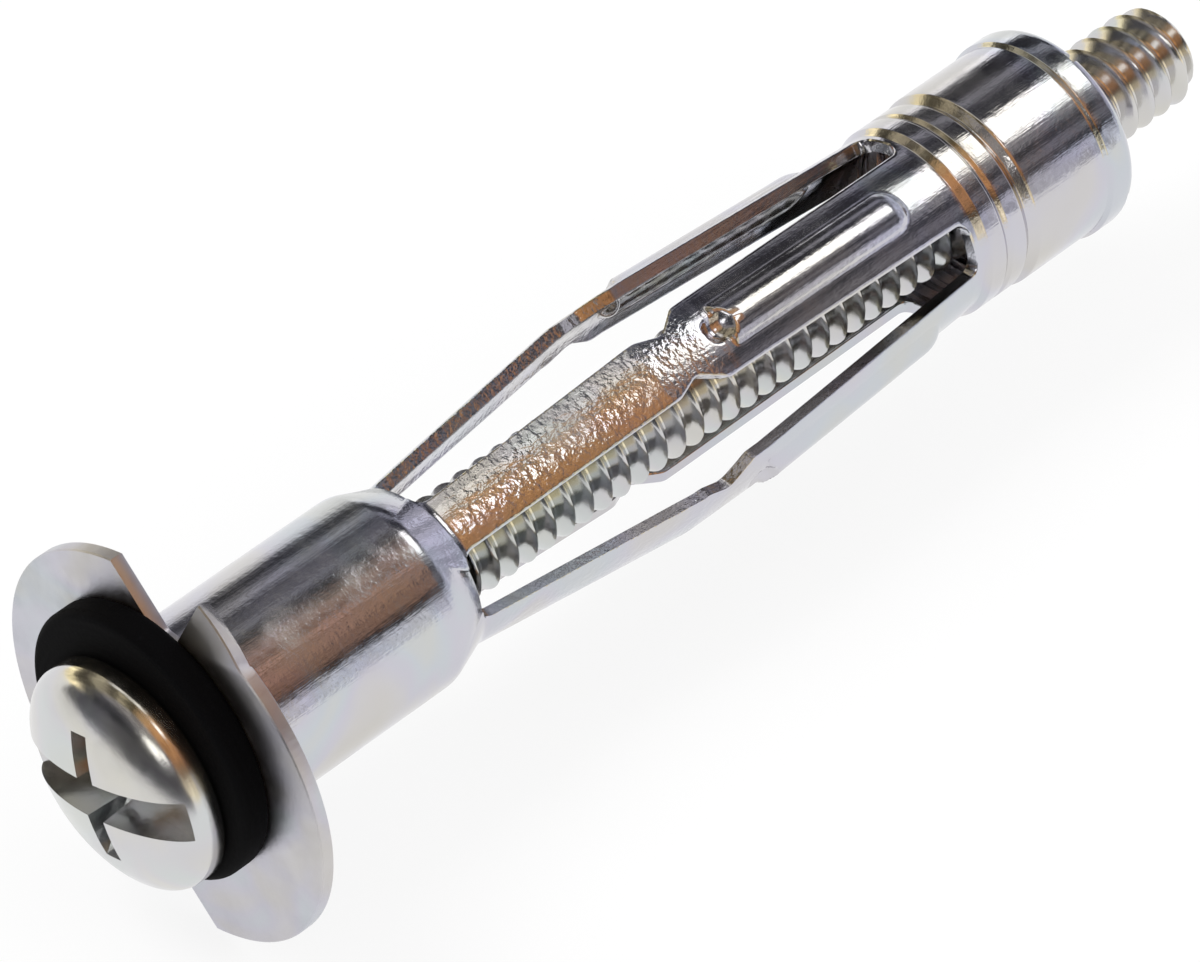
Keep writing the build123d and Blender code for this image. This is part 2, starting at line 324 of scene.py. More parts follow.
class PlatingGroups:
    """The effects that every plated steel surface shares."""

    def __init__(self) -> None:
        """Build the groups once."""
        self.skin = self._build_skin()
        self.film = self._build_film()

    @staticmethod
    def _build_skin() -> bpy.types.NodeTree:
        """Unevenness of a plated surface: waves, pimples and fine scratches along the axis."""
        real = "NodeSocketFloat"
        group, g, start, end = new_group(
            "plated_skin",
            [("Place", "NodeSocketVector", None), ("Waves", real, 0.3), ("Pimples", real, 0.2),
             ("Scratches", real, 0.2), ("Grain", real, 1.0)],
            [("Height", real), ("Patches", real)],
        )
        place = start.outputs["Place"]
        waves = g.noise(place, 260.0, 2.0, 0.45)
        pimple_scale = g.maths("MULTIPLY", start.outputs["Grain"], 3600.0)
        pimples = g.noise(place, pimple_scale, 2.0, 0.6)
        stretched = g.add("ShaderNodeMapping", {"Vector": place, "Scale": (0.06, 1.0, 1.0)})
        scratches = g.noise(stretched.outputs[0], 9000.0, 2.0, 0.7)
        wave_part = g.maths("MULTIPLY", waves, start.outputs["Waves"])
        pimple_part = g.maths("MULTIPLY", pimples, start.outputs["Pimples"])
        scratch_part = g.maths("MULTIPLY", scratches, start.outputs["Scratches"])
        height = g.maths("ADD", g.maths("ADD", wave_part, pimple_part), scratch_part)
        patches = g.ranged(g.noise(place, 420.0, 4.0, 0.62), 0.35, 0.68, smooth=True)
        g.tree.links.new(height, end.inputs["Height"])
        g.tree.links.new(patches, end.inputs["Patches"])
        return group

    @staticmethod
    def _build_film() -> bpy.types.NodeTree:
        """Colour of the thin clear film on zinc, which drifts from yellow through pink to blue."""
        group, g, start, end = new_group(
            "zinc_film",
            [("Place", "NodeSocketVector", None), ("Base", "NodeSocketColor", (0.7, 0.7, 0.7, 1)),
             ("Strength", "NodeSocketFloat", 0.3), ("Size", "NodeSocketFloat", 1.0)],
            [("Color", "NodeSocketColor")],
        )
        scale = g.maths("MULTIPLY", start.outputs["Size"], 170.0)
        drift = g.noise(start.outputs["Place"], scale, 2.0, 0.5, 0.6)
        hue = g.ramp(g.ranged(drift, 0.3, 0.7), FILM_HUES)
        tint = g.mixed(start.outputs["Strength"], (1, 1, 1, 1), hue)
        g.tree.links.new(g.multiplied(1.0, start.outputs["Base"], tint), end.inputs["Color"])
        return group


@dataclass(frozen=True)
class ZincFinish:
    """Bright zinc plate on steel."""

    name: str
    metal: Metal
    base: Colour
    roughness: Pair
    film: float
    waves: float
    pimples: float
    scratches: float
    grain: float
    relief: float
    peel: float = 0.0
    flange_satin: float = 0.0

    def build(self, groups: PlatingGroups) -> bpy.types.Material:
        """Material of the finish.

        Args:
            groups: The shared effects.

        Returns:
            The material.
        """
        material, g, output = new_material(self.name)
        place = g.add("ShaderNodeTexCoord").outputs["Object"]
        skin = g.add("ShaderNodeGroup", node_tree=groups.skin)
        film = g.add("ShaderNodeGroup", node_tree=groups.film)
        g.tree.links.new(place, skin.inputs["Place"])
        g.tree.links.new(place, film.inputs["Place"])
        for key in ("Waves", "Pimples", "Scratches", "Grain"):
            skin.inputs[key].default_value = getattr(self, key.lower())
        film.inputs["Base"].default_value = self.base
        film.inputs["Strength"].default_value = self.film
        rough = g.ranged(skin.outputs["Patches"], 0.0, 1.0, self.roughness[0], self.roughness[1])
        height = skin.outputs["Height"]
        if self.metal is Metal.PRESSED:
            along = g.add("ShaderNodeSeparateXYZ", {0: place}).outputs[0]
            legs = g.band(along, LEG_PEEL_RISE, LEG_PEEL_FALL, smooth=False)
            peel = g.maths("MULTIPLY", g.noise(place, 3300.0, 2.0, 0.5), legs)
            height = g.maths("ADD", height, g.maths("MULTIPLY", peel, self.peel))
            flange = g.ranged(along, *FLANGE_FRONT)
            rough = g.maths("ADD", rough, g.maths("MULTIPLY", flange, self.flange_satin))
        bump = g.add("ShaderNodeBump", {"Strength": 1.0, "Distance": self.relief, "Height": height})
        surface = g.add(
            "ShaderNodeBsdfPrincipled",
            {"Base Color": film.outputs["Color"], "Metallic": 1.0, "Roughness": rough,
             "Normal": bump.outputs[0]},
        )
        if self.metal is Metal.TURNED:
            surface.inputs["Anisotropic"].default_value = 0.3
        g.tree.links.new(surface.outputs[0], output.inputs["Surface"])
        return material


@dataclass(frozen=True)
class RubberFinish:
    """Matte black plastic or rubber, with faint moulding rings."""

    name: str
    base: Colour
    roughness: float
    ring_gap: float

    def build(self) -> bpy.types.Material:
        """Material of the finish."""
        material, g, output = new_material(self.name)
        place = g.add("ShaderNodeTexCoord").outputs["Object"]
        parts = g.add("ShaderNodeSeparateXYZ", {0: place}).outputs
        squares = [g.maths("POWER", parts[axis], 2.0) for axis in (1, 2)]
        reach = g.maths("ADD", g.maths("SQRT", g.maths("ADD", *squares)), parts[0])
        rings = g.maths("SINE", g.maths("MULTIPLY", reach, 2 * math.pi / self.ring_gap))
        grain = g.noise(place, 5200.0, 3.0, 0.6)
        height = g.maths("ADD", g.maths("MULTIPLY", rings, 0.25), grain)
        bump = g.add("ShaderNodeBump", {"Strength": 0.6, "Distance": 0.00002, "Height": height})
        dust = g.ranged(g.noise(place, 1500.0, 5.0, 0.65), 0.55, 0.8, smooth=True)
        pale = tuple(min(1.0, c * 2.5) for c in self.base[:3]) + (1.0,)
        colour = g.mixed(g.maths("MULTIPLY", dust, 0.5), self.base, pale)
        surface = g.add(
            "ShaderNodeBsdfPrincipled",
            {"Base Color": colour, "Roughness": self.roughness, "Specular IOR Level": 0.05,
             "Normal": bump.outputs[0]},
        )
        g.tree.links.new(surface.outputs[0], output.inputs["Surface"])
        return material


# -------------------------------------------------------------------- sleeve


@dataclass
class Rings:
    """Rings of outer and inner points that grow into a shell one sheet thick."""

    sheet: float
    outer: list[np.ndarray] = field(default_factory=list)
    inner: list[np.ndarray] = field(default_factory=list)

    def add(
        self, x: float, radius: np.ndarray | float, angles: np.ndarray, normal: Pair,
        drop: np.ndarray | float = 0.0, press: np.ndarray | float = 0.0,
    ) -> None:
        """Add one ring of outer points, with the inner points under them.

        Args:
            x: Station of the outside.
            radius: Radius of the outside, one for all columns or one for each.
            angles: Angle of each column.
            normal: Outward direction, as (x, radius).
            drop: Depth taken off both faces, which rounds the sheet's edge.
            press: Depth both faces are pressed in.
        """
        for rows, depth in ((self.outer, drop + press), (self.inner, self.sheet - drop + press)):
            deep_x = np.broadcast_to(x - normal[0] * depth, angles.shape)
            deep_r = radius - normal[1] * depth
            rows.append(np.stack([deep_x, -deep_r * np.sin(angles), deep_r * np.cos(angles)], axis=1))


@dataclass
class Sleeve:
    """The pressed sleeve: flange, collar, four legs, band, cup and rolled lip. Sizes in millimetres."""

    sheet: float = 0.6
    flange_r: float = 8.9
    collar_r: float = 4.45
    collar_bend_r: float = 0.4
    shoulder_x: float = 11.3
    shoulder_r: float = 1.6
    neck_x: float = 13.2
    neck_outer_r: float = 3.75
    neck_bend_r: float = 0.9
    leg_count: int = 4
    leg_angle: float = 23.5
    root_x: float = 13.0
    root_round: float = 0.6
    elbow_x: float = 24.3
    pinch_x: float = 24.7
    waist_x: float = 25.9
    hip_x: float = 27.2
    crest_end_x: float = 28.0
    crest_r: float = 5.0
    crest_bend_r: float = 2.5
    leg_end_x: float = 41.3
    leg_end_r: float = 4.3
    leg_end_round: float = 0.5
    root_half: float = 1.325
    elbow_half: float = 1.525
    waist_half: float = 1.075
    hip_half: float = 1.9
    leg_end_half: float = 2.05
    bead_half: float = 1.05
    bead_height: float = 0.36
    bead_start_x: float = 28.3
    bead_end_x: float = 39.2
    dimple_ball_r: float = 0.7
    dimple_depth: float = 0.35
    band_x: float = 41.6
    band_r: float = 4.5
    ring_step: float = 0.35
    ridge_x: float = 43.0
    ridge_half: float = 0.2
    ridge_depth: float = 0.12
    groove_x: float = 44.4
    groove_r: float = 4.25
    groove_half: float = 0.35
    cup_r: float = 4.6
    lip_x: float = 49.0
    lip_r: float = 4.75
    lip_round: float = 0.62
    end_x: float = 50.7
    bore_r: float = 3.3
    notch_r: float = 6.15
    notch_lean: float = 16.5
    notch_upright: float = 11.0
    notch_floor: float = 0.9
    notch_floor_round: float = 0.4
    fold_rim_angle: float = 32.0
    corner_bend: float = 18.0
    crease_radius: float = 0.35
    edge: float = 0.055
    leg_columns: int = 32
    gap_columns: int = 24
    flange_rows: int = 26
    first_flange_row: float = 0.985
    bend_rows: int = 8
    notch_columns: tuple[int, int, int, int] = (20, 10, 12, 16)
    notch_floor_middle: float = 4.0
    least_station_gap: float = 0.018
    end_rows: tuple[float, ...] = (0.35, 0.7, 0.9, 1.0)
    lip_gap_angle: float = 12.0
    lip_gap_half: float = 0.25

    @property
    def period(self) -> int:
        """Columns from one leg to the next."""
        return self.leg_columns + self.gap_columns

    @property
    def columns(self) -> int:
        """Columns all the way round."""
        return self.leg_count * self.period

    def profile(self) -> np.ndarray:
        """Outside line (x, radius) from the flange's back face to the lip's bore."""
        corners = [
            (0.0, self.collar_r + 2 * self.collar_bend_r, 0.0),
            (0.0, self.collar_r, self.collar_bend_r),
            (self.shoulder_x, self.collar_r, self.shoulder_r),
            (self.neck_x, self.neck_outer_r, self.neck_bend_r),
            (self.elbow_x, self.crest_r, self.crest_bend_r),
            (self.crest_end_x, self.crest_r, self.crest_bend_r),
            (self.leg_end_x, self.leg_end_r, 0.6),
            (self.band_x, self.leg_end_r, 0.1),
            (self.band_x + self.ring_step, self.band_r, 0.15),
            (self.ridge_x - self.ridge_half, self.band_r, 0.12),
            (self.ridge_x, self.band_r - self.ridge_depth, 0.06),
            (self.ridge_x + self.ridge_half, self.band_r, 0.12),
            (self.groove_x - self.groove_half, self.band_r, 0.14),
            (self.groove_x, self.groove_r, 0.08),
            (self.groove_x + self.groove_half, self.cup_r, 0.2),
            (self.lip_x, self.cup_r, 0.1),
            (self.lip_x + self.lip_r - self.cup_r, self.lip_r, 0.1),
            (self.end_x, self.lip_r, self.lip_round),
            (self.end_x, self.bore_r, 0.0),
        ]
        return rounded([c[:2] for c in corners], [c[2] for c in corners[1:-1]], steps=7)

    def half_width_line(self) -> np.ndarray:
        """Half width of a leg along the axis, with the flared ends that round the slots."""
        return rounded(
            [
                (self.root_x, self.root_half + self.root_round),
                (self.root_x, self.root_half),
                (self.pinch_x, self.elbow_half),
                (self.waist_x, self.waist_half),
                (self.hip_x, self.hip_half),
                (self.leg_end_x, self.leg_end_half),
                (self.leg_end_x, self.leg_end_half + self.leg_end_round),
            ],
            [self.root_round * 0.999, 1.0, 0.6, 0.7, self.leg_end_round * 0.999],
            steps=9,
        )

    def half_width(self, x: float) -> float:
        """Half width of a leg at a station, eased back past the slots' ends."""
        line = self.half_width_line()
        if x < self.root_x:
            share = eased((self.root_x - x) / 1.4)
            return self.root_half + self.root_round * (1 - share)
        if x > self.leg_end_x:
            return self.leg_end_half + self.leg_end_round * (1 - eased((x - self.leg_end_x) / 1.2))
        return float(np.interp(x, line[:, 0], line[:, 1]))

    def stations(self, line: np.ndarray) -> np.ndarray:
        """Stations along the axis, dense where the shape changes."""
        body = line[(line[:, 0] >= self.collar_bend_r) & (line[:, 0] < self.end_x - self.lip_round)]
        pieces = [
            body[:, 0],
            self.half_width_line()[:, 0],
            np.array([self.root_x - self.edge * 1.4, self.leg_end_x + self.edge * 1.4]),
            np.arange(1.0, self.shoulder_x, 1.2),
            np.arange(self.root_x + 1, self.elbow_x - 1, 1.0),
            np.arange(self.pinch_x - 0.4, self.hip_x + 0.4, 0.16),
            np.arange(self.bead_start_x - 1.1, self.bead_start_x + 0.5, 0.075),
            np.arange(self.bead_start_x + 1, self.bead_end_x - 1.5, 1.0),
            np.arange(self.bead_end_x - 1.25, self.bead_end_x + 0.15, 0.09),
            np.arange(self.leg_end_x + 0.1, self.end_x - 1, 0.3),
        ]
        every = np.unique(np.round(np.concatenate(pieces), 5))
        keep = [every[0]]
        fixed = {round(self.root_x, 5), round(self.leg_end_x, 5)}
        for x in every[1:]:
            if x - keep[-1] >= self.least_station_gap:
                keep.append(x)
            elif x in fixed:
                keep[-1] = x
        return np.array(keep)

    def leg_columns_at(self, x: float, radius: float) -> np.ndarray:
        """Angles of all columns at a station, legs and gaps in turn, from the first leg's left edge."""
        half = math.asin(self.half_width(x) / radius)
        rim = self.edge * 1.4 / radius
        inner = np.linspace(-half + rim, half - rim, self.leg_columns - 1)
        leg = np.concatenate([[-half], inner, [half]])
        pitch = 2 * math.pi / self.leg_count
        gap_rim = min(rim, (pitch / 2 - half) / 3)
        gap = np.linspace(half + gap_rim, pitch - half - gap_rim, self.gap_columns - 1)
        one = np.concatenate([leg, gap])
        turn = math.radians(self.leg_angle)
        return np.concatenate([one + turn + number * pitch for number in range(self.leg_count)])

    def flange_angles(self) -> np.ndarray:
        """Angles of the columns at the flange's rim, gathered at the notches."""
        floor_turn = math.degrees(math.atan2(self.notch_floor, self.notch_r))
        marks = [-self.notch_lean, 0.0, floor_turn, self.notch_upright, self.fold_rim_angle,
                 180 - self.notch_lean]
        counts = [*self.notch_columns, self.columns // 2 - sum(self.notch_columns)]
        spans = zip(marks, marks[1:], counts)
        half = np.concatenate([np.linspace(low, high, count, endpoint=False) for low, high, count in spans])
        return np.radians(np.concatenate([half, half + 180]))

    def rim_columns(self, at_bend: np.ndarray) -> np.ndarray:
        """Rim angle of each column, turned so that a column at the bend meets its own notch."""
        full = 2 * math.pi
        shift = int(np.argmin(np.abs(at_bend % full - math.radians(self.notch_floor_middle))))
        floor_column = self.notch_columns[0] + self.notch_columns[1] // 2
        at_rim = np.unwrap(np.roll(self.flange_angles(), shift - floor_column))
        return at_rim + full * round((at_bend[shift] - at_rim[shift]) / full)

    def rim_radius(self, angle: float) -> float:
        """Radius of the flange's outline at an angle, with its two notches."""
        turn = (math.degrees(angle) + 90) % 180 - 90
        if turn <= -self.notch_lean or turn >= self.notch_upright:
            return self.flange_r
        outline = rounded(
            [
                self._rim_point(-self.notch_lean),
                (0.0, self.notch_r),
                (-self.notch_floor, self.notch_r),
                self._rim_point(self.notch_upright),
            ],
            [self.notch_floor_round, self.notch_floor_round],
        )
        turns = np.degrees(np.arctan2(-outline[:, 0], outline[:, 1]))
        direction = np.array([-math.sin(math.radians(turn)), math.cos(math.radians(turn))])
        for index in range(len(outline) - 1):
            if turns[index] <= turn <= turns[index + 1]:
                first, last = outline[index], outline[index + 1]
                along = last - first
                across = direction[0] * along[1] - direction[1] * along[0]
                return float((first[0] * along[1] - first[1] * along[0]) / across)
        return self.flange_r

    def _rim_point(self, turn: float, radius: float | None = None) -> Pair:
        """Point (y, z) of the flange at an angle in degrees."""
        reach = self.flange_r if radius is None else radius
        return (-reach * math.sin(math.radians(turn)), reach * math.cos(math.radians(turn)))

    def relief(self, x: float, side: np.ndarray) -> np.ndarray:
        """Height of bead and dimple over a leg at a station, for distances from the leg's middle."""
        bead_r = (self.bead_half**2 + self.bead_height**2) / (2 * self.bead_height)
        nose_x = self.bead_end_x - self.bead_half
        away = np.hypot(max(0.0, x - nose_x), side)
        bead = np.sqrt(np.maximum(bead_r**2 - away**2, 0)) - (bead_r - self.bead_height)
        bead = np.maximum(bead, 0) * eased((x - self.bead_start_x + 0.1) / 0.2)
        dimple_x = self.bead_start_x - self.dimple_ball_r / 2
        near = np.hypot(x - dimple_x, side)
        ball = np.sqrt(np.maximum(self.dimple_ball_r**2 - near**2, 0))
        dent = ball - (self.dimple_ball_r - self.dimple_depth)
        clear = eased((near - 0.85 * self.dimple_ball_r) / (0.35 * self.dimple_ball_r))
        return bead * clear - np.maximum(dent, 0)

    def _bend_corners(self, points: np.ndarray) -> np.ndarray:
        """Bend the flange corner beside each notch back about its fold line."""
        side = np.array(self._rim_point(self.notch_upright, self.notch_r + self.notch_floor_round))
        rim = np.array(self._rim_point(self.fold_rim_angle))
        along = (rim - side) / np.linalg.norm(rim - side)
        outward = np.array([along[1], -along[0]])
        outward *= np.sign(outward @ np.array(self._rim_point(20.0)))
        bend = math.radians(self.corner_bend)
        for turn in (1, -1):
            flat = points[:, 1:] * turn - side
            beyond = flat @ outward
            chosen = (beyond > 0) & (flat @ along > -0.35) & (np.abs(points[:, 0]) < 1.0)
            chosen &= np.linalg.norm(points[:, 1:], axis=1) > self.collar_r + 2 * self.collar_bend_r
            distance = beyond[chosen]
            height = points[chosen, 0] + self.sheet
            arc = self.crease_radius * bend
            angle = np.minimum(distance / arc, 1) * bend
            tail = np.maximum(distance - arc, 0)
            reach = self.crease_radius * np.sin(angle) + tail * math.cos(bend)
            lift = self.crease_radius * (1 - np.cos(angle)) + tail * math.sin(bend)
            reach = reach - height * np.sin(angle)
            rise = lift + height * np.cos(angle) - self.sheet
            moved = points[chosen, 1:] * turn + np.outer(reach - distance, outward)
            points[chosen, 0] = rise
            points[chosen, 1:] = moved * turn
        return points

    def build(self) -> bpy.types.Object:
        """Mesh of the sleeve.

        Returns:
            The sleeve as one closed shell.
        """
        rings = Rings(self.sheet)
        self._add_flange(rings)
        slot_rows = self._add_body(rings)
        lip_row = len(rings.outer) + 1
        self._add_lip(rings)
        return self._skin(rings, slot_rows, lip_row)

    def _add_flange(self, rings: Rings) -> None:
        """Add the flange from its rim in, and its bend into the collar."""
        bend_r = self.collar_r + self.collar_bend_r
        at_bend = self.leg_columns_at(self.root_x - 3, self.collar_r)
        at_rim = self.rim_columns(at_bend)
        rim = np.array([self.rim_radius(a) for a in at_rim])
        shares = np.concatenate([[1.0], np.linspace(self.first_flange_row, 0.0, self.flange_rows)])
        for number, share in enumerate(shares):
            angles = at_bend + (at_rim - at_bend) * eased(share)
            drop = self.edge if number == 0 else 0.0
            rings.add(0.0, bend_r + (rim - bend_r) * share, angles, (1.0, 0.0), drop)
        for angle in np.linspace(0, math.pi / 2, self.bend_rows)[1:-1]:
            x = self.collar_bend_r * (1 - math.cos(angle))
            radius = bend_r - self.collar_bend_r * math.sin(angle)
            rings.add(x, radius, at_bend, (math.cos(angle), math.sin(angle)))

    def _add_body(self, rings: Rings) -> list[int]:
        """Add the rings from the collar to the cup.

        Args:
            rings: The rings so far, which grow.

        Returns:
            Numbers of the rings that the slots run through.
        """
        line = self.profile()
        step = np.gradient(line, axis=0)
        step /= np.linalg.norm(step, axis=1)[:, None]
        fine = line[line[:, 0] < self.end_x - self.lip_round + 0.01]
        fine_step = step[: len(fine)]
        slot_rows: list[int] = []
        for x in self.stations(line):
            radius = float(np.interp(x, fine[:, 0], fine[:, 1]))
            tangent = np.array([np.interp(x, fine[:, 0], fine_step[:, k]) for k in (0, 1)])
            tangent /= np.linalg.norm(tangent)
            angles = self.leg_columns_at(x, radius)
            drop, press = np.zeros(self.columns), np.zeros(self.columns)
            in_slots = self.root_x - ALMOST <= x <= self.leg_end_x + ALMOST
            at_slot_end = min(abs(x - self.root_x), abs(x - self.leg_end_x)) < ALMOST
            for number in range(self.leg_count):
                base = number * self.period
                middle = math.radians(self.leg_angle) + number * 2 * math.pi / self.leg_count
                own = slice(base, base + self.leg_columns + 1)
                if self.waist_x < x < self.leg_end_x:
                    press[own] = -self.relief(x, radius * np.sin(angles[own] - middle))
                if in_slots:
                    sides = [base, base + self.leg_columns]
                    drop[sides] = self.edge
                    press[sides] = 0
                if at_slot_end:
                    drop[base + self.leg_columns : base + self.period] = self.edge
            if in_slots:
                slot_rows.append(len(rings.outer))
            rings.add(x, radius, angles, (-tangent[1], tangent[0]), drop, press)
        return slot_rows

    def _add_lip(self, rings: Rings) -> None:
        """Add the rolled lip and the face at the cup's end."""
        angles = self.leg_columns_at(self.end_x, self.lip_r)
        centre_x, centre_r = self.end_x - self.lip_round, self.lip_r - self.lip_round
        for turn in np.linspace(0, math.pi / 2, self.bend_rows):
            normal = (math.sin(turn), math.cos(turn))
            radius = centre_r + self.lip_round * normal[1]
            rings.add(centre_x + self.lip_round * normal[0], radius, angles, normal)
        for share in self.end_rows:
            radius = centre_r + (self.bore_r - centre_r) * share
            drop = self.edge * 1.5 if share == 1.0 else 0.0
            rings.add(self.end_x, radius, angles, (1.0, 0.0), drop)

    def _lip_gap_columns(self) -> set[int]:
        """Columns left out of the lip, which leave its gaps open."""
        angles = self.leg_columns_at(self.end_x, self.lip_r)
        middles = 0.5 * (angles + np.append(angles[1:], angles[0] + 2 * math.pi))
        pitch = 2 * math.pi / self.leg_count
        from_gap = (middles - math.radians(self.lip_gap_angle) + pitch / 2) % pitch - pitch / 2
        return set(np.nonzero(np.abs(from_gap) * self.lip_r < self.lip_gap_half)[0].tolist())

    def _skin(self, rings: Rings, slot_rows: Sequence[int], lip_row: int) -> bpy.types.Object:
        """Join the rings into a closed shell with its slots and lip gaps open.

        Args:
            rings: All rings, from the flange's rim to the bore.
            slot_rows: Numbers of the rings that the slots run through.
            lip_row: Number of the ring where the lip gaps start.

        Returns:
            The sleeve.
        """
        rows, columns = len(rings.outer), self.columns
        count = rows * columns
        points = np.concatenate([np.concatenate(rings.outer), np.concatenate(rings.inner)])
        points = self._bend_corners(points)
        gap_columns = self._lip_gap_columns()
        faces: list[tuple[int, ...]] = []
        open_edges: dict[tuple[int, int], tuple[int, int]] = {}
        for row in range(rows - 1):
            open_row = slot_rows[0] <= row < slot_rows[-1]
            for column in range(columns):
                in_slot = open_row and column % self.period >= self.leg_columns
                if in_slot or (row >= lip_row and column in gap_columns):
                    continue
                after = (column + 1) % columns
                a, b = row * columns + column, row * columns + after
                c, d = b + columns, a + columns
                faces.append((a, b, c, d))
                faces.append((a + count, d + count, c + count, b + count))
                for edge in ((a, b), (b, c), (c, d), (d, a)):
                    key = (min(edge), max(edge))
                    if key in open_edges:
                        del open_edges[key]
                    else:
                        open_edges[key] = edge
        for start, end in open_edges.values():
            faces.append((end, start, start + count, end + count))
        return mesh_object("anchor_sleeve", points, faces, 42.0)


# --------------------------------------------------------------------- screw


@dataclass
class Screw:
    """The machine screw: domed head with slot and cross, and a right-hand thread. Sizes in millimetres."""

    crest_r: float = 2.325
    root_r: float = 1.70
    pitch: float = 1.058
    thread_start_x: float = -2.6
    tail_x: float = 57.5
    tail_chamfer: float = 0.45
    rows_per_turn: int = 14
    columns: int = 40
    head_r: float = 5.05
    head_seat_x: float = -2.0
    head_height: float = 2.55
    head_edge: float = 0.75
    rim_round: float = 0.18
    slot_half: float = 0.9
    slot_depth: float = 1.7
    slot_angle: float = 74.0
    slot_saw_r: float = 30.0
    slot_shift: float = 0.8
    cross_half: float = 0.475
    cross_reach: float = 3.4
    cross_tip: float = 1.0
    cross_taper: float = 0.6
    cross_depth: float = 2.0

    def thread_tree(self, material: bpy.types.Material) -> bpy.types.NodeTree:
        """Geometry tree that winds a thread along +X.

        Args:
            material: Not used; the thread's finish is set through the tree's Finish input.

        Returns:
            The tree, with the thread's sizes as named inputs.
        """
        tree = bpy.data.node_groups.new("wound_thread", "GeometryNodeTree")
        for label in ("Start", "End", "Pitch", "Crest Radius", "Root Radius", "Chamfer"):
            tree.interface.new_socket(name=label, in_out="INPUT", socket_type="NodeSocketFloat")
        for label in ("Rows per Turn", "Columns"):
            tree.interface.new_socket(name=label, in_out="INPUT", socket_type="NodeSocketInt")
        tree.interface.new_socket(name="Finish", in_out="INPUT", socket_type="NodeSocketMaterial")
        tree.interface.new_socket(name="Geometry", in_out="OUTPUT", socket_type="NodeSocketGeometry")
        g = Graph(tree)
        start = g.add("NodeGroupInput").outputs
        step = g.maths("DIVIDE", start["Pitch"], start["Rows per Turn"])
        length = g.maths("SUBTRACT", start["End"], start["Start"])
        rows = g.maths("ADD", g.maths("CEIL", g.maths("DIVIDE", length, step)),
                       g.maths("MULTIPLY_ADD", start["Rows per Turn"], 1.0, 4.0))
        grid = g.add("GeometryNodeMeshGrid", {"Size X": 1.0, "Size Y": 1.0, "Vertices X": rows,
                                              "Vertices Y": g.maths("ADD", start["Columns"], 1.0)})
        parts = g.add("ShaderNodeSeparateXYZ", {0: g.add("GeometryNodeInputPosition").outputs[0]}).outputs
        share = g.maths("ADD", parts[0], 0.5)
        row = g.maths("ROUND", g.maths("MULTIPLY", share, g.maths("SUBTRACT", rows, 1.0)))
        turn = g.maths("ADD", parts[1], 0.5)
        lead = g.maths("MULTIPLY", g.maths("SUBTRACT", turn, 1.0), start["Pitch"])
        free = g.maths("ADD", g.maths("MULTIPLY_ADD", row, step, start["Start"]), lead)
        place = g.maths("MINIMUM", g.maths("MAXIMUM", free, start["Start"]), start["End"])
        phase = g.maths("FRACT", g.maths("DIVIDE", row, start["Rows per Turn"]))
        slope = g.maths("MULTIPLY", g.maths("ABSOLUTE", g.maths("SUBTRACT", phase, 0.5)), 2.0)
        flank = g.ranged(slope, 0.9, 0.08)
        radius = g.maths("MULTIPLY_ADD", flank, g.maths("SUBTRACT", start["Crest Radius"], start["Root Radius"]),
                         start["Root Radius"])
        bevel = g.maths("SUBTRACT", g.maths("SUBTRACT", start["End"], place), start["Chamfer"])
        radius = g.maths("MINIMUM", radius, g.maths("ADD", start["Crest Radius"], bevel))
        past_end = g.maths("GREATER_THAN", g.maths("SUBTRACT", free, start["End"]),
                           g.maths("MULTIPLY", step, 0.999))
        before = g.maths("LESS_THAN", g.maths("SUBTRACT", free, start["Start"]),
                         g.maths("MULTIPLY", step, -0.999))
        kept = g.maths("SUBTRACT", 1.0, g.maths("ADD", past_end, before, clamp=True))
        radius = g.maths("MULTIPLY", radius, kept)
        angle = g.maths("MULTIPLY", turn, 2 * math.pi)
        across, up = (g.maths("MULTIPLY", radius, g.maths(kind, angle)) for kind in ("COSINE", "SINE"))
        spot = g.add("ShaderNodeCombineXYZ", {0: place, 1: across, 2: up}).outputs[0]
        wound = g.add("GeometryNodeSetPosition", {"Geometry": grid.outputs[0], "Position": spot})
        merged = g.add("GeometryNodeMergeByDistance", {"Geometry": wound.outputs[0], "Distance": 2e-6})
        real = g.add("GeometryNodeRealizeInstances", {0: merged.outputs[0]}).outputs[0]
        dressed = g.add("GeometryNodeSetMaterial", {"Geometry": real, "Material": start["Finish"]})
        end = g.add("NodeGroupOutput")
        tree.links.new(dressed.outputs[0], end.inputs[0])
        return tree

    def build_thread(self, material: bpy.types.Material) -> bpy.types.Object:
        """Thread as a plain mesh object."""
        holder = mesh_object("thread_holder", np.zeros((0, 3)), [], 30.0)
        modifier = holder.modifiers.new("thread", "NODES")
        tree = self.thread_tree(material)
        modifier.node_group = tree
        sizes = {
            "Start": self.thread_start_x * MM, "End": self.tail_x * MM, "Pitch": self.pitch * MM,
            "Crest Radius": self.crest_r * MM, "Root Radius": self.root_r * MM,
            "Chamfer": self.tail_chamfer * MM,
            "Rows per Turn": self.rows_per_turn, "Columns": self.columns, "Finish": material,
        }
        for item in tree.interface.items_tree:
            if item.item_type == "SOCKET" and item.in_out == "INPUT":
                modifier[item.identifier] = sizes[item.name]
        return plain_copy(holder, "screw_thread", 28.0)

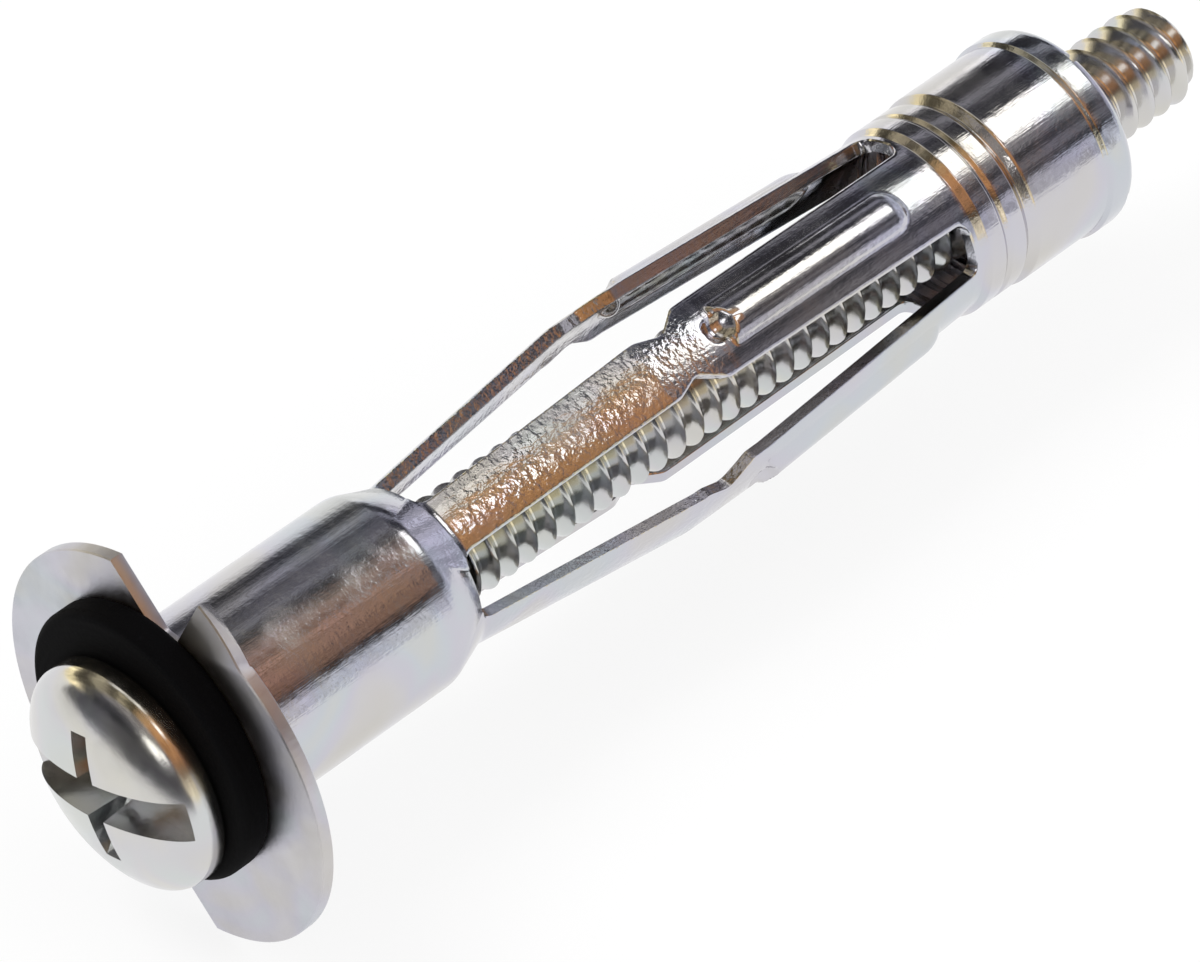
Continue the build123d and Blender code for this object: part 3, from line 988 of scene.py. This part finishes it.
    def build_head(self) -> bpy.types.Object:
        """Domed head with its slot and cross recess cut."""
        edge_x = self.head_seat_x - self.head_edge
        top_x = self.head_seat_x - self.head_height
        dome = [
            (edge_x - (edge_x - top_x) * math.sin(a), self.head_r * math.cos(a))
            for a in np.linspace(0.0, math.pi / 2, 46)
        ]
        rim = rounded(
            [(self.head_seat_x, 0.4), (self.head_seat_x, self.head_r), (edge_x, self.head_r)], [self.rim_round], 5
        )
        line = [(float(x), float(r)) for x, r in rim[:-1]] + dome[:-1]
        head = spun("screw_head", line, 144, top_x, 35.0)
        turn = Matrix.Rotation(math.radians(self.slot_angle), 4, "X")
        quarter = Matrix.Rotation(math.radians(self.slot_angle + 90), 4, "X")
        for tool in (self._saw(top_x, turn), self._wing(top_x, turn), self._wing(top_x, quarter)):
            cut = head.modifiers.new("cut", "BOOLEAN")
            cut.operation = "DIFFERENCE"
            cut.solver = "EXACT"
            cut.object = tool
            head = plain_copy(head, "screw_head", 35.0)
            bpy.data.objects.remove(tool)
        return head

    def _saw(self, top_x: float, turn: Matrix) -> bpy.types.Object:
        """Body that cuts the slot, with a floor as round as the saw."""
        floor_x = top_x + self.slot_depth
        reach = self.head_r + 1.5
        across = np.linspace(-reach, reach, 41)
        outline = [
            (floor_x - self.slot_saw_r + math.sqrt(self.slot_saw_r**2 - z * z), z - self.slot_shift)
            for z in across
        ]
        outline += [(top_x - 1.0, side - self.slot_shift) for side in (reach, -reach)]
        points = [(x, y, z) for y in (-self.slot_half, self.slot_half) for x, z in outline]
        size = len(outline)
        faces: list[Sequence[int]] = [list(range(size)), list(range(2 * size - 1, size - 1, -1))]
        faces += [(i, (i + 1) % size, size + (i + 1) % size, size + i) for i in range(size)]
        tool = mesh_object("saw", np.array(points), faces, 30.0)
        tool.data.transform(turn)
        return tool

    def _wing(self, top_x: float, turn: Matrix) -> bpy.types.Object:
        """Tapered body that cuts two wings of the cross."""
        up = 1.0
        slope = (self.cross_reach - self.cross_tip) / self.cross_depth
        narrow = self.cross_half * (1 - self.cross_taper) / self.cross_depth
        ends = (
            (top_x - up, self.cross_half + narrow * up, self.cross_reach + slope * up),
            (top_x + self.cross_depth, self.cross_half * self.cross_taper, self.cross_tip),
        )
        points = [(x, y * sy, z * sz) for x, y, z in ends for sy, sz in ((-1, -1), (1, -1), (1, 1), (-1, 1))]
        faces = [(0, 1, 2, 3), (7, 6, 5, 4), (0, 4, 5, 1), (1, 5, 6, 2), (2, 6, 7, 3), (3, 7, 4, 0)]
        tool = mesh_object("wing", np.array(points), faces, 30.0)
        tool.data.transform(turn)
        return tool

    def build(self, material: bpy.types.Material) -> bpy.types.Object:
        """Whole screw as one object.

        Args:
            material: Its finish.

        Returns:
            The screw.
        """
        thread = self.build_thread(material)
        head = self.build_head()
        shell = bmesh.new()
        shell.from_mesh(thread.data)
        shell.from_mesh(head.data)
        mesh = bpy.data.meshes.new("anchor_screw")
        shell.to_mesh(mesh)
        shell.free()
        for part in (thread, head):
            bpy.data.objects.remove(part)
        mesh.materials.clear()
        mesh.materials.append(material)
        mesh.polygons.foreach_set("material_index", [0] * len(mesh.polygons))
        return placed("anchor_screw", mesh)


def plain_copy(thing: bpy.types.Object, name: str, sharp: float) -> bpy.types.Object:
    """Plain mesh object of a thing with its modifiers applied; the thing is removed."""
    bpy.context.view_layer.update()
    seen = thing.evaluated_get(bpy.context.evaluated_depsgraph_get())
    mesh = bpy.data.meshes.new_from_object(seen)
    thing.modifiers.clear()
    bpy.data.objects.remove(thing)
    clean(mesh, sharp)
    return placed(name, mesh)


def spun(name: str, line: Sequence[Pair], columns: int, pole_x: float, sharp: float) -> bpy.types.Object:
    """Closed body spun about the X axis from its flat seat to a pole.

    Args:
        name: Name of the object.
        line: Points (x, radius) from the seat's middle outward and up.
        columns: Faces round the axis.
        pole_x: Where the last pole is.
        sharp: Angle past which an edge shows.

    Returns:
        The body.
    """
    angles = np.linspace(0, 2 * math.pi, columns, endpoint=False)
    points = [(x, -r * math.sin(a), r * math.cos(a)) for x, r in line for a in angles]
    points += [(line[0][0], 0.0, 0.0), (pole_x, 0.0, 0.0)]
    rows = len(line)
    faces: list[Sequence[int]] = []
    for column in range(columns):
        after = (column + 1) % columns
        faces.append((rows * columns, column, after))
        last = (rows - 1) * columns
        faces.append((rows * columns + 1, last + after, last + column))
        for row in range(rows - 1):
            a, b = row * columns + column, row * columns + after
            faces.append((a, a + columns, b + columns, b))
    return mesh_object(name, np.array(points), faces, sharp)


# -------------------------------------------------------------------- studio


@dataclass
class Studio:
    """Pale floor, soft lamps, the room that bright metal mirrors, and the camera."""

    floor_z: float
    lens: float = 212.55
    eye: tuple[float, float, float] = (-0.1227, -0.1451, 0.1999)
    look: tuple[float, float, float] = (0.5063, 0.5030, -0.7005)
    room_radius: float = 1.2

    def build_camera(self) -> None:
        """Set the camera at its place, looking along its line."""
        lens = bpy.data.cameras.new("camera")
        lens.sensor_width = 36.0
        lens.lens = self.lens
        lens.clip_start = 0.005
        camera = placed("camera", lens)
        camera.location = self.eye
        camera.rotation_euler = Vector(self.look).to_track_quat("-Z", "Y").to_euler()
        bpy.context.scene.camera = camera

    def build_world(self) -> None:
        """White surround for the camera and for mirrors, and a plain even light."""
        world = bpy.data.worlds.new("surround")
        world.use_nodes = True
        world.node_tree.nodes.clear()
        bpy.context.scene.world = world
        g = Graph(world.node_tree)
        strength = g.ranged(g.seen_rays(), 0.0, 1.0, 0.75, 1.0)
        light = g.add("ShaderNodeBackground", {"Color": (1, 1, 1, 1), "Strength": strength})
        output = g.add("ShaderNodeOutputWorld")
        g.tree.links.new(light.outputs[0], output.inputs[0])

    def build_floor(self) -> None:
        """Pale floor that keeps the shadow."""
        size = 3000.0
        z = self.floor_z / MM
        corners = np.array([(-size, -size, z), (size, -size, z), (size, size, z), (-size, size, z)])
        floor = mesh_object("floor", corners, [(0, 1, 2, 3)], 30.0)
        material, g, output = new_material("pale_floor")
        matte = g.add("ShaderNodeBsdfDiffuse", {"Color": (0.9, 0.9, 0.9, 1)})
        glow = g.add("ShaderNodeEmission", {"Color": (1, 1, 1, 1), "Strength": 1.0})
        share = g.maths("MULTIPLY", g.seen_rays(), 0.84)
        mix = g.add("ShaderNodeMixShader", {0: share, 1: matte.outputs[0], 2: glow.outputs[0]})
        g.tree.links.new(mix.outputs[0], output.inputs["Surface"])
        floor.data.materials.append(material)
        floor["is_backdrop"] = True

    def build_room(self) -> None:
        """Half dome of dark and warm walls that only mirror rays meet."""
        rings, columns = 24, 64
        points, faces = [], []
        for ring in range(rings + 1):
            height = math.radians(ring * 89.0 / rings)
            for column in range(columns):
                turn = 2 * math.pi * column / columns
                level = math.cos(height)
                points.append((level * math.cos(turn), level * math.sin(turn), math.sin(height)))
        for ring in range(rings):
            for column in range(columns):
                a, b = ring * columns + column, ring * columns + (column + 1) % columns
                faces.append((a, b, b + columns, a + columns))
        room = mesh_object("room", np.array(points) * self.room_radius / MM, faces, 180.0)
        room.data.materials.append(self._room_material())
        mirror_only(room)
        room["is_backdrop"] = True

    @staticmethod
    def _room_material() -> bpy.types.Material:
        """Bands of wall round the long axis, and a window beyond the tail."""
        material, g, output = new_material("room_walls")
        place = g.add("ShaderNodeTexCoord").outputs["Object"]
        way = g.add("ShaderNodeVectorMath", {0: place}, operation="NORMALIZE").outputs[0]
        x, y, z = g.add("ShaderNodeSeparateXYZ", {0: way}).outputs
        around = g.maths("ARCTAN2", g.maths("MULTIPLY", y, -1.0), z)
        wobble = g.maths("MULTIPLY", g.maths("SUBTRACT", g.noise(way, 4.0, 3.0), 0.5), 0.3)
        share = g.ranged(g.maths("ADD", around, wobble), -math.pi / 2, math.pi / 2)
        cooling = g.ranged(g.maths("ADD", x, wobble), 0.49, 0.56, smooth=True)
        walls = g.mixed(cooling, g.ramp(share, WARM_WALLS), g.ramp(share, COOL_WALLS))
        walls = g.multiplied(g.ranged(x, 0.43, 0.36, smooth=True), walls, (1.55, 1.35, 0.85, 1))
        pale = g.maths("MULTIPLY", g.band(around, (-0.75, -0.6), (0.12, -0.05)),
                       g.band(x, (0.1, 0.16), (0.40, 0.36), smooth=False))
        walls = g.mixed(pale, walls, (1.0, 0.97, 0.88, 1))
        walls = g.mixed(g.ranged(x, 0.80, 0.90, smooth=True), walls, (0.62, 0.62, 0.72, 1))
        walls = g.mixed(g.ranged(x, -0.50, -0.68, smooth=True), walls, g.ramp(z, BEHIND_WALL))
        window = g.maths("MULTIPLY", g.band(around, (-0.22, -0.12), (0.46, 0.34)),
                         g.band(x, (0.52, 0.55), (0.80, 0.74)))
        for spot, size in LAMP_PANES:
            facing = g.add("ShaderNodeVectorMath", {0: way, 1: Vector(spot).normalized()},
                           operation="DOT_PRODUCT").outputs["Value"]
            rim, core = (math.cos(math.radians(turn)) for turn in (size + PANE_BLUR, size))
            window = g.maths("MAXIMUM", window, g.ranged(facing, rim, core, smooth=True))
        blotch = g.ranged(g.noise(way, 9.0, 4.0, 0.6), 0.38, 0.66, 0.55, 1.5, smooth=True)
        colour = g.mixed(window, g.multiplied(1.0, walls, blotch), (1.0, 0.99, 0.95, 1))
        strength = g.ranged(window, 0.0, 1.0, 1.0, WINDOW_STRENGTH)
        glow = g.add("ShaderNodeEmission", {"Color": colour, "Strength": strength})
        g.tree.links.new(glow.outputs[0], output.inputs["Surface"])
        return material

    def build_card(self) -> None:
        """Low dark card before the head, which only mirror rays meet."""
        x, low, high = -36.0, self.floor_z / MM + 0.5, 7.0
        corners = np.array([(x, -70.0, low), (x, 60.0, low), (x, 60.0, high), (x, -70.0, high)])
        card = mesh_object("dark_card", corners, [(0, 1, 2, 3)], 30.0)
        material, g, output = new_material("dark_card")
        place = g.add("ShaderNodeTexCoord").outputs["Object"]
        grey = g.ramp(g.ranged(g.noise(place, 40.0, 3.0), 0.3, 0.7), CARD_GREYS)
        glow = g.add("ShaderNodeEmission", {"Color": grey, "Strength": 1.0})
        g.tree.links.new(glow.outputs[0], output.inputs["Surface"])
        card.data.materials.append(material)
        mirror_only(card)
        card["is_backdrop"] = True

    def build_lamps(self) -> None:
        """Two soft lamps for the shadow and for the black ring."""
        for name, place, size, power in (
            ("key_lamp", (-0.25, 0.25, 0.6), 0.35, 2.2),
            ("fill_lamp", (0.35, -0.5, 0.5), 0.5, 1.2),
        ):
            lamp = bpy.data.lights.new(name, "AREA")
            lamp.shape = "DISK"
            lamp.size = size
            lamp.energy = power
            holder = placed(name, lamp)
            holder.location = place
            aim = Vector((0.02, 0, 0)) - Vector(place)
            holder.rotation_euler = aim.to_track_quat("-Z", "Y").to_euler()
            holder.visible_glossy = False

    def build(self) -> None:
        """Build the whole studio."""
        self.build_camera()
        self.build_world()
        self.build_floor()
        self.build_room()
        self.build_card()
        self.build_lamps()
        bpy.context.scene.view_settings.view_transform = "Standard"


# ---------------------------------------------------------------------- main


@dataclass
class Anchor:
    """The whole anchor: what replaces CAD nodes, what stays, and the finishes."""

    sleeve_zinc: ZincFinish = ZincFinish(
        "sleeve_zinc", Metal.PRESSED, (0.60, 0.60, 0.63, 1), roughness=(0.08, 0.2), film=0.5,
        waves=0.3, pimples=0.26, scratches=0.16, grain=1.0, relief=0.00003, peel=1.25,
        flange_satin=0.26,
    )
    screw_zinc: ZincFinish = ZincFinish(
        "screw_zinc", Metal.HEADED, (0.64, 0.64, 0.63, 1), roughness=(0.14, 0.26), film=0.4,
        waves=0.4, pimples=0.16, scratches=0.06, grain=1.0, relief=0.00002,
    )
    nut_zinc: ZincFinish = ZincFinish(
        "nut_zinc", Metal.TURNED, (0.66, 0.655, 0.64, 1), roughness=(0.2, 0.35), film=0.3,
        waves=0.4, pimples=0.2, scratches=0.2, grain=1.0, relief=0.00002,
    )
    ring_black: RubberFinish = RubberFinish(
        "ring_black", (0.002, 0.002, 0.0025, 1), roughness=0.72, ring_gap=0.00035
    )

    def build(self) -> None:
        """Build, dress and place every piece."""
        groups = PlatingGroups()
        sleeve = Sleeve().build()
        sleeve.data.materials.append(self.sleeve_zinc.build(groups))
        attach(sleeve, "sleeve_body")
        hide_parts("sleeve")
        LOG.info("sleeve: %d faces", len(sleeve.data.polygons))
        screw = Screw().build(self.screw_zinc.build(groups))
        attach(screw, "screw_body")
        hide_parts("screw")
        LOG.info("screw: %d faces", len(screw.data.polygons))
        for node, material in (
            ("sealing_ring", self.ring_black.build()),
            ("nut", self.nut_zinc.build(groups)),
        ):
            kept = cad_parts[node]
            for slot in kept.material_slots:
                slot.material = material
            LOG.info("%s: finish %s", node, material.name)


def main() -> None:
    """Build the anchor and its studio."""
    logging.basicConfig(level=logging.INFO, format="%(name)s: %(message)s")
    Anchor().build()
    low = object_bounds()[0]
    Studio(floor_z=float(low[2])).build()


if __name__ == "__main__":
    main()
